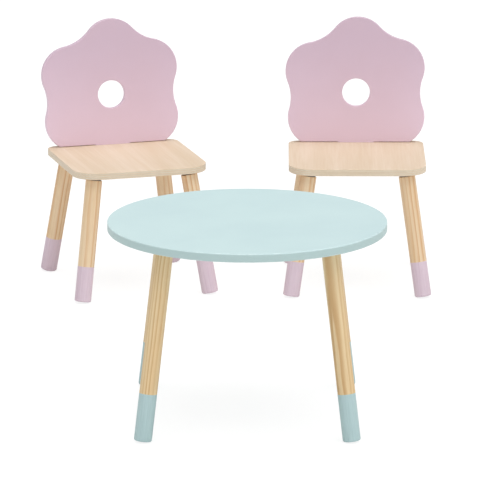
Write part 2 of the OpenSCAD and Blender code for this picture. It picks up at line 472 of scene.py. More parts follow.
class Board:
    """Builds the nodes of one material."""

    def __init__(self, name: str) -> None:
        """Starts an empty material.

        Args:
            name: Name of the material.
        """
        self.material = bpy.data.materials.new(name)
        self.material.use_nodes = True
        self.tree = self.material.node_tree
        self.tree.nodes.clear()

    def add(self, kind: str, settings: Optional[dict[str, Any]] = None,
            sockets: Optional[dict[Union[str, int], Any]] = None) -> bpy.types.Node:
        """Adds any node.

        Args:
            kind: The node's type.
            settings: Its settings, set first.
            sockets: Values or links of its sockets, by name or number.

        Returns:
            The node.
        """
        node = self.tree.nodes.new(kind)
        for key, value in (settings or {}).items():
            setattr(node, key, value)
        for key, value in (sockets or {}).items():
            if isinstance(value, Term):
                self.tree.links.new(value.socket, node.inputs[key])
            else:
                node.inputs[key].default_value = value
        return node

    def out(self, node: bpy.types.Node, output: Union[str, int] = 0) -> Term:
        """One of a node's outputs as a term."""
        return Term(self, node.outputs[output])

    def math(self, operation: str, a: Operand, b: Operand = 0.0) -> Term:
        """Adds a Math node on one or two values."""
        return self.out(self.add("ShaderNodeMath", {"operation": operation}, {0: a, 1: b}))

    def mix(self, share: Operand, a: Any, b: Any) -> Term:
        """Mixes two colours: a where share is 0 and b where it is 1."""
        node = self.add("ShaderNodeMix", {"data_type": "RGBA"}, {0: share, 6: a, 7: b})
        return self.out(node, 2)

    def attribute(self, name: str, output: str = "Fac") -> Term:
        """A value kept at the piece's corners."""
        return self.out(self.add("ShaderNodeAttribute", {"attribute_name": name}), output)

    def place(self, where: Place, lift: float) -> Term:
        """Object coordinates turned and moved to a sub-assembly's own middle, in metres."""
        coordinates = self.out(self.add("ShaderNodeTexCoord"), "Object")
        node = self.add("ShaderNodeMapping", {"vector_type": "TEXTURE"}, {
            "Vector": coordinates, "Location": (where.x, where.y, lift),
            "Rotation": (0.0, 0.0, where.turn)})
        return self.out(node)

    def stretch(self, vector: Term, scale: tuple[float, float, float]) -> Term:
        """A vector with each part multiplied."""
        return self.out(self.add("ShaderNodeVectorMath", {"operation": "MULTIPLY"},
                                 {0: vector, 1: scale}))

    def parts(self, vector: Term) -> tuple[Term, Term, Term]:
        """The three parts of a vector."""
        node = self.add("ShaderNodeSeparateXYZ", {}, {0: vector})
        return self.out(node, 0), self.out(node, 1), self.out(node, 2)

    def noise(self, vector: Term, scale: float = 1.0, detail: float = 2.0,
              roughness: float = 0.5, distortion: float = 0.0) -> Term:
        """Soft noise from 0 to 1."""
        return self.out(self.add("ShaderNodeTexNoise", {}, {
            "Vector": vector, "Scale": scale, "Detail": detail, "Roughness": roughness,
            "Distortion": distortion}))

    def bump(self, height: Term, depth: float, strength: float = 1.0,
             under: Optional[Term] = None) -> Term:
        """A normal tilted by a height from 0 to 1 over a depth in metres."""
        sockets: dict[Union[str, int], Any] = {
            "Height": height, "Distance": depth, "Strength": strength}
        if under is not None:
            sockets["Normal"] = under
        return self.out(self.add("ShaderNodeBump", {}, sockets))

    def finish(self, **sockets: Any) -> bpy.types.Material:
        """Ends the material in a Principled shader.

        Args:
            sockets: Its sockets, with _ for the spaces in their names.

        Returns:
            The material.
        """
        shader = self.add("ShaderNodeBsdfPrincipled", {},
                          {key.replace("_", " "): value for key, value in sockets.items()})
        self.add("ShaderNodeOutputMaterial", {}, {"Surface": self.out(shader)})
        return self.material


# ---------- finishes ----------


@dataclass(frozen=True)
class Paint:
    """Sprayed satin paint on a board, with painted shading towards its lower edge: darker or lighter
    there as given.

    Attributes:
        name: Name of the material.
        tone: Main colour.
        cloud_tone: Colour of its faint clouds.
        painted_lighting_tone: Colour painted towards the lower edge in place of light and shade:
            painted shade on the table's rim and underside, painted light on the lower part of a chair
            back.
        rub_tone: Colour where the eased edges are rubbed.
        centre: Where the board's middle stands.
        base: Height where the painted lighting tone is strongest, in metres.
        height: Height above the base that the fade's shares count against, in metres.
        fade: The shares of that height where the painted lighting tone starts and ends fading.
        unrest: How much the clouds disturb the fade.
    """

    name: str
    tone: str
    cloud_tone: str
    painted_lighting_tone: str
    rub_tone: str
    centre: Place
    base: float
    height: float
    fade: tuple[float, float] = (0.0, 1.0)
    unrest: float = 0.5

    def build(self) -> bpy.types.Material:
        """Makes the material: cloudy tone, painted shading towards the lower edge, rubbed edges,
        orange peel and a hint of fibre.
        """
        b = Board(self.name)
        at = b.place(self.centre, self.base)
        cloud = b.noise(at, 5.0, 3.0, 0.55)
        fibre = b.noise(b.stretch(at, (520.0, 16.0, 40.0)), 1.0, 3.0, 0.6)
        # Share of the lower tone, which is painted light and shade: strongest at the base, fading
        # upwards.
        low = 1 - (b.parts(at)[2] / self.height + (cloud - 0.5) * self.unrest).rise(*self.fade)
        tone = b.mix(cloud.rise(0.3, 0.75), colour(self.tone), colour(self.cloud_tone))
        tone = b.mix(low, tone, colour(self.painted_lighting_tone))
        rub = b.attribute("easing") * b.noise(at, 55.0, 4.0, 0.65).rise(0.42, 0.7)
        tone = b.mix(rub * 0.45, tone, colour(self.rub_tone))
        speck = b.noise(at, 1400.0, 1.0, 0.5).rise(0.62, 0.82)
        tone = b.mix(speck * 0.05 + fibre * 0.03, tone, (0.2, 0.2, 0.2, 1.0))
        peel = b.noise(at, 620.0, 2.0, 0.45)
        normal = b.bump(fibre, 0.00004, 0.5, b.bump(peel, 0.00006, 0.7))
        rough = 0.44 + (cloud - 0.5) * 0.10 + (peel - 0.5) * 0.06 - rub * 0.08
        return b.finish(Base_Color=tone, Roughness=rough, Normal=normal, IOR=1.46)


@dataclass(frozen=True)
class DippedPine:
    """Clear-lacquered pine rod whose foot is dipped in paint.

    Attributes:
        name: Name of the material.
        dip_tone: Colour of the dip.
        dip_shade: Colour of the dip where fibres show through.
        dip: Length of the dip, in metres.
        pale: Early wood.
        late: Late wood.
        ring: Spacing of the growth rings, in metres.
    """

    name: str
    dip_tone: str
    dip_shade: str
    dip: float
    pale: str
    late: str
    ring: float = 0.0095

    def build(self) -> bpy.types.Material:
        """Makes the material: growth rings about an off-centre pith, fibres, pores and the dip."""
        b = Board(self.name)
        grain = b.attribute("grain", "Vector")
        x, y, _ = b.parts(grain)
        wander = b.noise(b.stretch(grain, (22.0, 22.0, 2.6)), 1.0, 3.0, 0.5) - 0.5
        count = (x * x + y * y) ** 0.5 / self.ring + wander * 1.5
        phase = count.fraction()
        late = phase.rise(0.35, 0.93) * (1 - phase.rise(0.94, 1.0))
        ring_place = b.add("ShaderNodeCombineXYZ", {}, {0: count.whole() * 7.31})
        each = b.noise(b.out(ring_place), 1.0, 0.0)
        fibre = b.noise(b.stretch(grain, (640.0, 640.0, 15.0)), 1.0, 4.0, 0.62)
        broad = b.noise(b.stretch(grain, (60.0, 60.0, 3.0)), 1.0, 3.0, 0.55)
        pore = b.noise(b.stretch(grain, (1500.0, 1500.0, 42.0)), 1.0, 2.0, 0.5).rise(0.64, 0.80)
        wood = b.mix(broad.rise(0.3, 0.72) * 0.42, colour(self.pale), colour("#DDB57F"))
        wood = b.mix(late * (0.30 + each.rise(0.3, 0.7) * 0.62), wood, colour(self.late))
        wood = b.mix((fibre - 0.36).at_least(0.0) * 0.60, wood, colour("#B98350"))
        wood = b.mix(pore * 0.30, wood, colour("#9A6A3E"))
        rise = b.attribute("rise")
        edge = rise + (b.noise(grain, 160.0, 2.0) - 0.5) * 0.0005
        dipped = 1 - edge.rise(self.dip - 0.0002, self.dip + 0.0002)
        paint = b.mix(fibre.rise(0.38, 0.72) * 0.55 + broad * 0.25,
                      colour(self.dip_tone), colour(self.dip_shade))
        tone = b.mix(dipped, wood, paint)
        height = fibre * 0.6 + late * 0.3 - pore * 0.4
        normal = b.bump(height, 0.00007, 0.8)
        film = edge.rise(self.dip - 0.0012, self.dip + 0.0002)
        normal = b.bump(1 - film, 0.00018, 0.6, normal)
        rough = 0.50 + (fibre - 0.5) * 0.16 + pore * 0.1 - dipped * 0.05
        return b.finish(Base_Color=tone, Roughness=rough, Normal=normal, IOR=1.47)


@dataclass(frozen=True)
class Plywood:
    """Clear-lacquered birch plywood, its face grain running front to rear.

    Attributes:
        name: Name of the material.
        centre: Where the board's middle stands.
        underside: Height of its lower face, in metres.
        thickness: Its thickness, in metres.
        layers: Number of veneers, which is odd.
    """

    name: str
    centre: Place
    underside: float
    thickness: float
    layers: int = 7

    def build(self) -> bpy.types.Material:
        """Makes the material: long-grain and end-grain veneers, glue lines, streaks and flecks."""
        b = Board(self.name)
        at = b.place(self.centre, self.underside)
        _, _, height = b.parts(at)
        waver = (b.noise(at, 18.0, 2.0) - 0.5) * 0.16
        count = height * (self.layers / self.thickness) + waver
        count = count.at_least(0.5).at_most(self.layers - 0.5)
        crossed = (count.whole() * 0.5).fraction() * 2
        near_glue = ((count.fraction() - 0.5).size() - 0.5).size()
        glue = 1 - near_glue.rise(0.02, 0.10)
        along = b.noise(b.stretch(at, (260.0, 7.0, 420.0)), 1.0, 4.0, 0.6)
        across = b.noise(b.stretch(at, (7.0, 420.0, 420.0)), 1.0, 4.0, 0.6)
        figure = b.noise(b.stretch(at, (26.0, 1.6, 26.0)), 1.0, 3.0, 0.5, 0.6)
        fleck = b.noise(b.stretch(at, (900.0, 60.0, 900.0)), 1.0, 2.0, 0.5).rise(0.66, 0.84)
        long_tone = b.mix(figure.rise(0.30, 0.72) * 0.75, colour("#E4D2BC"), colour("#D9C4A8"))
        long_tone = b.mix((along - 0.34).at_least(0.0) * 0.50, long_tone, colour("#C8A47A"))
        long_tone = b.mix(fleck * 0.20, long_tone, colour("#A97C50"))
        end_tone = b.mix(across.rise(0.3, 0.75), colour("#E4D9C6"), colour("#D2C3AC"))
        tone = b.mix(crossed, long_tone, end_tone)
        half = self.layers / 2
        inner = 1 - (count - half).size().rise(half - 0.52, half - 0.5)
        tone = b.mix(glue * inner * 0.40, tone, colour("#9A8768"))
        relief = along * 0.5 + crossed * across * 0.5 - glue * inner * 0.5
        normal = b.bump(relief, 0.00006, 0.7)
        rough = 0.52 + (along - 0.5) * 0.14 + crossed * 0.12
        return b.finish(Base_Color=tone, Roughness=rough, Normal=normal, IOR=1.47)


@dataclass(frozen=True)
class Metal:
    """Plated or blackened steel.

    Attributes:
        name: Name of the material.
        tone: Its colour.
        worn_tone: Its colour where handled.
        roughness: Its mean roughness.
    """

    name: str
    tone: str
    worn_tone: str
    roughness: float

    def build(self) -> bpy.types.Material:
        """Makes the material: cloudy plating with fine turning marks."""
        b = Board(self.name)
        at = b.out(b.add("ShaderNodeTexCoord"), "Object")
        cloud = b.noise(at, 160.0, 4.0, 0.6)
        fine = b.noise(b.stretch(at, (900.0, 900.0, 5200.0)), 1.0, 2.0, 0.5)
        tone = b.mix(cloud.rise(0.4, 0.75) * 0.7, colour(self.tone), colour(self.worn_tone))
        normal = b.bump(fine, 0.00002, 0.6)
        rough = self.roughness + (cloud - 0.5) * 0.2 + (fine - 0.5) * 0.1
        return b.finish(Base_Color=tone, Roughness=rough, Normal=normal, Metallic=0.95)


# ---------- legs ----------


@dataclass(frozen=True)
class LegSet:
    """Four leaning legs under a board, with a bevelled washer on each.

    Attributes:
        reach_x: From the middle to a leg's axis at the underside, across.
        reach_y: The same in depth.
        underside: Height of the board's underside.
        diameter: Diameter of a leg.
        tilt: Lean away from upright, in degrees.
        dip: Length of the painted foot.
        seed: Start of the wood's random placing: turn, the pith's place, and place along the log.
        foot_r: Rounding of the foot.
        shoulder_r: Rounding of the upper end.
        shoulder_gap: From the upper end's highest point up to the board.
        rest_gap: Air between parts that rest on each other.
        film: Thickness of the dip's paint.
        washer_inset: How much smaller a washer's radius is than the leg's.
        washer_hole_r: Radius of a washer's hole.
        washer_ease: Bevel of a washer's lower edges.
        bore_r: Radius of the bore in the upper end.
        bore_depth: Depth of its straight part.
    """

    reach_x: float
    reach_y: float
    underside: float
    diameter: float
    tilt: float
    dip: float
    seed: int
    foot_r: float = 4.0
    shoulder_r: float = 1.0
    shoulder_gap: float = 3.2
    rest_gap: float = 0.05
    film: float = 0.12
    washer_inset: float = 2.5
    washer_hole_r: float = 4.3
    washer_ease: float = 0.3
    bore_r: float = 4.05
    bore_depth: float = 35.0

    STEPS = 128
    SIDE_ROWS = 40
    HOLD = 0.3
    BORE_EASE = 0.3
    BORE_TIP = 1.5
    PITH = (26, 60)
    LOG_LENGTH = 4000

    @property
    def lean(self) -> float:
        """The lean in radians."""
        return math.radians(self.tilt)

    @property
    def top(self) -> float:
        """Place of a leg's top face along its axis, 0 at the underside and negative below it."""
        rim = (self.diameter / 2 - self.shoulder_r) * math.sin(self.lean)
        return self.shoulder_r - (rim + self.shoulder_r + self.shoulder_gap) / math.cos(self.lean)

    @property
    def drop(self) -> float:
        """Length from the underside down to the foot's face, whose inner rim touches the floor."""
        rim = (self.diameter / 2 - self.foot_r) * math.sin(self.lean)
        return (self.underside - rim - self.foot_r) / math.cos(self.lean) + self.foot_r

    def stand(self, points: np.ndarray, corner: Corner) -> np.ndarray:
        """Leans points about the place where the axis meets the underside, then turns them outwards.

        Args:
            points: Points in a leg's own frame: z up its axis, x outwards.
            corner: Where the leg stands.

        Returns:
            The points in the sub-assembly's frame.
        """
        c, s = math.cos(self.lean), math.sin(self.lean)
        side_x, side_y = corner.value
        x, y = points[:, 0] * c - points[:, 2] * s, points[:, 1]
        z = points[:, 0] * s + points[:, 2] * c
        a = math.atan2(side_y, side_x)
        return np.column_stack([
            x * math.cos(a) - y * math.sin(a) + side_x * self.reach_x,
            x * math.sin(a) + y * math.cos(a) + side_y * self.reach_y,
            z + self.underside])

    def rod(self) -> Surface:
        """A turned leg: rounded foot, dip a film thicker than the wood, eased shoulder, blind bore."""
        r, foot, top = self.diameter / 2, -self.drop, self.top
        wood_r, end = r - self.film, foot + self.dip
        hold, ease = self.HOLD, self.BORE_EASE
        side = np.linspace(end + 3 * self.film, top - self.shoulder_r - hold, self.SIDE_ROWS)
        profile = np.vstack([
            [[0, foot], [r * 0.5, foot], [r - self.foot_r - hold, foot]],
            arc((r - self.foot_r, foot + self.foot_r), self.foot_r, -90, 0, 10),
            [[r, foot + self.foot_r + hold], [r, end - hold]],
            arc((r - self.film, end - self.film), self.film, 0, 60, 3),
            np.column_stack([np.full(len(side), wood_r), side]),
            arc((wood_r - self.shoulder_r, top - self.shoulder_r), self.shoulder_r, 0, 90, 6),
            [[wood_r - self.shoulder_r - hold, top], [self.bore_r + ease, top],
             [self.bore_r, top - ease], [self.bore_r, top - self.bore_depth],
             [0, top - self.bore_depth - self.BORE_TIP]],
        ])
        return turned(profile, self.STEPS)

    def wedge(self) -> Surface:
        """A washer cut square to the leg below and level above: a ring whose top follows the slope."""
        r, bore, ease = self.diameter / 2 - self.washer_inset, self.washer_hole_r, self.washer_ease
        low = self.top + self.rest_gap
        loop = np.array([[bore + ease, 0], [r - ease, 0], [r, ease], [r, 1], [r - ease, 1],
                         [bore + ease, 1], [bore, 1], [bore, ease]])
        ring = turned(loop, self.STEPS // 2, closed=True)
        x, level = ring.points[:, 0], ring.points[:, 2]
        slope = (-self.rest_gap - x * math.sin(self.lean)) / math.cos(self.lean)
        is_top = level >= 1
        ring.points[:, 2] = np.where(is_top, slope, low + level)
        return ring

    def build(self, owner: str, place: Place, wood: bpy.types.Material, wood_slot: Slot,
              steel: bpy.types.Material) -> None:
        """Makes the four legs and their washers.

        Args:
            owner: The body they ride on, which starts their CAD nodes' names.
            place: Where the sub-assembly stands.
            wood: The legs' material.
            wood_slot: The slot of that material.
            steel: The washers' material.
        """
        rng = np.random.default_rng(self.seed)
        for corner in Corner:
            leg = self.rod()
            spin, far, pith, shift = rng.uniform([0, 0, self.PITH[0], 0],
                                                 [6.283, 6.283, self.PITH[1], self.LOG_LENGTH])
            c, s = math.cos(spin), math.sin(spin)
            x, y, z = leg.points.T
            leg.values["grain"] = MM * np.column_stack([
                x * c - y * s + pith * math.cos(far), x * s + y * c + pith * math.sin(far), z + shift])
            leg.values["rise"] = MM * (z + self.drop)
            leg.points = place.to_row(self.stand(leg.points, corner))
            put(leg, f"{owner}_{corner.label}_leg", owner, wood_slot, wood,
                f"{owner}_leg_{corner.label}")
            washer = self.wedge()
            washer.points = place.to_row(self.stand(washer.points, corner))
            put(washer, f"{owner}_{corner.label}_wedge_washer", owner, Slot.DARK_STEEL, steel,
                f"{owner}_washer_{corner.label}")


# ---------- table ----------


@dataclass(frozen=True)
class Table:
    """The round table.

    Attributes:
        diameter: Diameter of the top.
        height: Height of its upper face.
        thickness: Its thickness.
        ease: Rounding of its edges.
        legs: Its legs.
    """

    diameter: float = 580.0
    height: float = 415.0
    thickness: float = 18.0
    ease: float = 2.0
    legs: LegSet = LegSet(reach_x=168.29, reach_y=168.29, underside=397.0, diameter=37.0,
                          tilt=9.3, dip=99.0, seed=11)

    STEPS = 256
    HOLD = 0.3

    def top_surface(self) -> Surface:
        """A disc turned from its edge profile."""
        r, low, high = self.diameter / 2, self.height - self.thickness, self.height
        e, hold = self.ease, self.HOLD
        inner = np.linspace(0, r - e - hold, 9)[1:]
        profile = np.vstack([
            [[0, low]], np.column_stack([inner, np.full(8, low)]),
            arc((r - e, low + e), e, -90, 0, 8), [[r, low + e + hold], [r, high - e - hold]],
            arc((r - e, high - e), e, 0, 90, 8),
            np.column_stack([inner[::-1], np.full(8, high)]), [[0, high]],
        ])
        disc = turned(profile, self.STEPS)
        radius = np.hypot(disc.points[:, 0], disc.points[:, 1])
        to_edge = np.minimum(disc.points[:, 2] - low, high - disc.points[:, 2])
        disc.values["easing"] = ((radius > r - e - 0.01) & (to_edge < e + 0.01)).astype(float)
        return disc

    def build(self, place: Place, steel: bpy.types.Material) -> None:
        """Makes the top and the legs."""
        # The darker lower tone is painted shade: the rim and underside are painted darker than the
        # top, though the real paint is one colour.
        paint = Paint("mint_satin_paint", tone="#CAE2E3", cloud_tone="#C5DDDF",
                      painted_lighting_tone="#B2CACA", rub_tone="#DDEEEE", centre=place,
                      base=(self.height - self.thickness) * MM, height=self.thickness * MM,
                      fade=(0.80, 0.98), unrest=0.0).build()
        disc = self.top_surface()
        disc.points = place.to_row(disc.points)
        put(disc, "table_round_top", "table", Slot.MINT_PAINT, paint, "table_top")
        wood = DippedPine("pine_dipped_mint", dip_tone="#B6CED0", dip_shade="#9FBBBD",
                          dip=self.legs.dip * MM, pale="#E6D0A6", late="#BC8C50",
                          ring=0.0068).build()
        self.legs.build("table", place, wood, Slot.TABLE_PINE, steel)


# ---------- chair ----------


@dataclass(frozen=True)
class FlowerBack:
    """The flower-shaped panel with a hand hole, a straight foot and a tab.

    Attributes:
        thickness: Thickness of the panel.
        lean: Its lean in degrees.
        inset: From the seat's rear edge to its rear face.
        tip: From the flower's middle to a lobe's tip.
        lobe_r: Radius of a lobe.
        lobe_angles: Where the five lobes above the foot point, going left round, in degrees.
        valley_r: Radius of the hollow arc between two lobes.
        foot_cut: How much of the lowest lobe the foot cuts off.
        hole_r: Radius of the hand hole.
        tab: Width of the tab.
        tab_sink: How far the tab's end stays short of the seat's underside.
        ease: Rounding of the edges.
        nut_x: From the middle to a barrel nut, across.
        nut_rise: From the foot up to a nut's axis.
        nut_r: Radius of a nut.
        nut_bore_r: Radius of its bore.
        nut_sink: From the rear face in to a nut's face.
        nut_cover: Wood left in front of its bore.
        bolt_r: Radius of a back bolt's shank.
    """

    thickness: float = 13.0
    lean: float = 5.0
    inset: float = 7.0
    tip: float = 177.5
    lobe_r: float = 68.0
    lobe_angles: tuple[float, ...] = (-32.0, 32.0, 88.0, 153.0, 213.0)
    valley_r: float = 100.0
    foot_cut: float = 60.5
    hole_r: float = 32.5
    tab: float = 84.0
    tab_sink: float = 0.5
    ease: float = 1.6
    nut_x: float = 75.0
    nut_rise: float = 30.0
    nut_r: float = 5.0
    nut_bore_r: float = 5.05
    nut_sink: float = 1.0
    nut_cover: float = 2.0
    bolt_r: float = 3.0

    LOBE_STEPS = 44
    VALLEY_STEPS = 26
    FOOT_STEPS = 8
    CORNER_STEP = 4.0

    @property
    def rise(self) -> float:
        """Height of the flower's middle above the foot."""
        return self.tip - self.foot_cut

    def _valley(self, k: int) -> np.ndarray:
        """Centre of the hollow arc that touches lobes k and k + 1.

        It stands on the line between the two lobes' directions, at the lobes' distance along that
        line plus the root of (lobe_r + valley_r) squared less their distance across it squared.

        Args:
            k: Number of the lobe before the valley.

        Returns:
            The centre.
        """
        half = math.radians((self.lobe_angles[k + 1] - self.lobe_angles[k]) / 2)
        near = self.tip - self.lobe_r
        along, across = near * math.cos(half), near * math.sin(half)
        reach = along + math.sqrt((self.lobe_r + self.valley_r) ** 2 - across ** 2)
        return spoke(reach, self.lobe_angles[k] + math.degrees(half))

    def _line(self, start: float, end: float, level: float) -> tuple[list, list]:
        """Points of a level edge clear of its corners, and their steps up into the wood."""
        clear = math.copysign(self.CORNER_STEP, end - start)
        places = np.linspace(start + clear, end - clear, self.FOOT_STEPS)
        return [[x, level] for x in places], [[0.0, 1.0]] * self.FOOT_STEPS

    def outline(self, tab_length: float) -> tuple[np.ndarray, np.ndarray]:
        """The outline about the flower's middle, going left round from the foot's right corner.

        Lobe circles touch the tip circle from inside, and valley arcs join them.

        Args:
            tab_length: Length of the tab below the foot.

        Returns:
            Points, and for each the step into the wood that moves the edge in by one.
        """
        foot, half_tab, last = -self.rise, self.tab / 2, len(self.lobe_angles) - 1
        lobes = [spoke(self.tip - self.lobe_r, a) for a in self.lobe_angles]
        ends = []
        for sign, lobe in ((1, lobes[0]), (-1, lobes[last])):
            x = lobe[0] + sign * math.sqrt(self.lobe_r ** 2 - (foot - lobe[1]) ** 2)
            ends.append(np.array([x, foot]))

        points, steps = [], []

        def add(more: Sequence, into: Sequence) -> None:
            """Adds points and their steps."""
            points.extend(np.asarray(more, float).tolist())
            steps.extend(np.asarray(into, float).tolist())

        def corner(place: np.ndarray, normal: np.ndarray) -> None:
            """Adds a corner between the foot and a lobe, its step the two edges' mitre."""
            add([place], [-(normal + [0, -1]) / (1 - normal[1])])

        corner(ends[0], (ends[0] - lobes[0]) / self.lobe_r)
        turn_clear = math.degrees(self.CORNER_STEP / self.lobe_r)
        first = heading(ends[0] - lobes[0]) + turn_clear
        for k, lobe in enumerate(lobes):
            if k < last:
                middle = self._valley(k)
                stop = heading(middle - lobe)
            else:
                stop = heading(ends[1] - lobe) - turn_clear
            stop += 360 if stop < first else 0
            bow = arc((0, 0), 1.0, first, stop, self.LOBE_STEPS)
            add(lobe + self.lobe_r * bow, -bow)
            if k == last:
                break
            start, end = heading(lobe - middle), heading(lobes[k + 1] - middle)
            end -= 360 if end > start else 0
            bow = arc((0, 0), 1.0, start, end, self.VALLEY_STEPS)[1:-1]
            add(middle + self.valley_r * bow, bow)
            first = heading(middle - lobes[k + 1])
        corner(ends[1], (ends[1] - lobes[last]) / self.lobe_r)

        low, clear = foot - tab_length, self.CORNER_STEP
        add(*self._line(ends[1][0], -half_tab, foot))
        add([[-half_tab, foot], [-half_tab, foot - clear], [-half_tab, low + clear], [-half_tab, low]],
            [[1, 1], [1, 0], [1, 0], [1, 1]])
        add(*self._line(-half_tab, half_tab, low))
        add([[half_tab, low], [half_tab, low + clear], [half_tab, foot - clear], [half_tab, foot]],
            [[-1, 1], [-1, 0], [-1, 0], [-1, 1]])
        add(*self._line(half_tab, ends[0][0], foot))
        return np.array(points), np.array(steps)

    def surface(self, seat_t: float) -> Surface:
        """The panel: the whole outline, and facing it the hand hole's circle.

        Args:
            seat_t: Thickness of the seat that the tab goes down through.

        Returns:
            The surface: x across, y from the front face at -thickness to 0, z up from the foot.
        """
        outer, outer_in = self.outline((seat_t - self.tab_sink) / math.cos(math.radians(self.lean)))
        ray = outer / np.linalg.norm(outer, axis=1, keepdims=True)
        slab = Slab(outer, outer_in, self.hole_r * ray, ray, self.thickness, self.ease, self.ease)
        made = slab.surface()
        x, z, depth = made.points.T
        made.points = np.column_stack([x, depth - self.thickness, z + self.rise])
        return made


@dataclass(frozen=True)
class Seat:
    """The plywood seat with a slot for the back's tab.

    Attributes:
        width: Its width.
        depth: Front to rear.
        thickness: Its thickness.
        height: Height of its upper face.
        front_r: Corner radius at the front.
        rear_r: Corner radius at the rear.
        ease: Rounding of the edges.
        slot_ease: Rounding of the slot's edges.
        slot_gap: Air round the tab in the slot.
        rest_gap: Air between the seat and the back that stands on it.
    """

    width: float = 316.0
    depth: float = 308.0
    thickness: float = 16.0
    height: float = 300.0
    front_r: float = 58.0
    rear_r: float = 27.0
    ease: float = 1.5
    slot_ease: float = 0.3
    slot_gap: float = 0.25
    rest_gap: float = 0.05

    CORNER_STEPS = 36
    SIDE_STEPS = 25
    MIN_TURN = 0.002

    def outline(self) -> tuple[np.ndarray, np.ndarray]:
        """The rounded outline, turning left from the front edge's middle.

        Returns:
            Points and their outward normals.
        """
        w, d, f, r = self.width / 2, self.depth / 2, self.front_r, self.rear_r
        corners = [((w - f, -d + f), f, -90), ((w - r, d - r), r, 0),
                   ((-w + r, d - r), r, 90), ((-w + f, -d + f), f, 180)]
        points, normals = [], []
        for middle, radius, start in corners:
            bow = arc((0, 0), 1.0, start, start + 90, self.CORNER_STEPS)
            points.append(np.array(middle) + radius * bow)
            normals.append(bow)
        loops_p, loops_n = [], []
        for k, here in enumerate(points):
            after = points[(k + 1) % 4]
            share = np.linspace(0, 1, self.SIDE_STEPS + 1)[1:-1, None]
            loops_p += [here, here[-1] * (1 - share) + after[0] * share]
            loops_n += [normals[k], np.repeat(normals[k][-1:], len(share), axis=0)]
        return np.vstack(loops_p), np.vstack(loops_n)

    def surface(self, back: FlowerBack) -> Surface:
        """The board: rays from the slot's middle pair the outline with the slot's rim.

        Rays through the slot's four corners are added, and outline points almost on them left out.

        Args:
            back: The panel whose tab the slot takes.

        Returns:
            The surface in the chair's frame.
        """
        lean = math.radians(back.lean)
        rear = self.depth / 2 - back.inset
        half_x = back.tab / 2 + self.slot_gap
        half_y = (back.thickness / 2 + self.slot_gap) / math.cos(lean)
        middle = np.array([0, rear - back.thickness / 2 / math.cos(lean)
                           - self.rest_gap * math.tan(lean)])
        points, normals = self.outline()
        ray = points - middle
        angle = np.arctan2(ray[:, 1], ray[:, 0])
        extra = np.arctan2([half_y, half_y, -half_y, -half_y], [half_x, -half_x, half_x, -half_x])
        order = np.argsort(angle)
        angle, points, normals = angle[order], points[order], normals[order]
        near = np.abs(angle[:, None] - extra[None, :]).min(axis=1) < self.MIN_TURN
        angle, points, normals = angle[~near], points[~near], normals[~near]
        added = [np.column_stack([np.interp(extra, angle, column[:, k], period=2 * math.pi)
                                  for k in range(2)]) for column in (points, normals)]
        angle = np.concatenate([angle, extra])
        order = np.argsort(angle)
        outer = np.vstack([points, added[0]])[order]
        normal = np.vstack([normals, added[1]])[order]
        normal /= np.linalg.norm(normal, axis=1, keepdims=True)
        ray = np.column_stack([np.cos(angle[order]), np.sin(angle[order])])
        reach = np.minimum(half_x / np.maximum(np.abs(ray[:, 0]), 1e-9),
                           half_y / np.maximum(np.abs(ray[:, 1]), 1e-9))
        rim = middle + ray * reach[:, None]
        local = (rim - middle) / [half_x, half_y]
        inner_in = np.where(np.abs(local) > 1 - 1e-6, np.sign(local), 0.0)
        drift = (0.0, -self.thickness * math.tan(lean))
        slab = Slab(outer, -normal, rim, inner_in, self.thickness, self.ease, self.slot_ease, drift)
        made = slab.surface()
        made.points[:, 2] = self.height - made.points[:, 2]
        return made


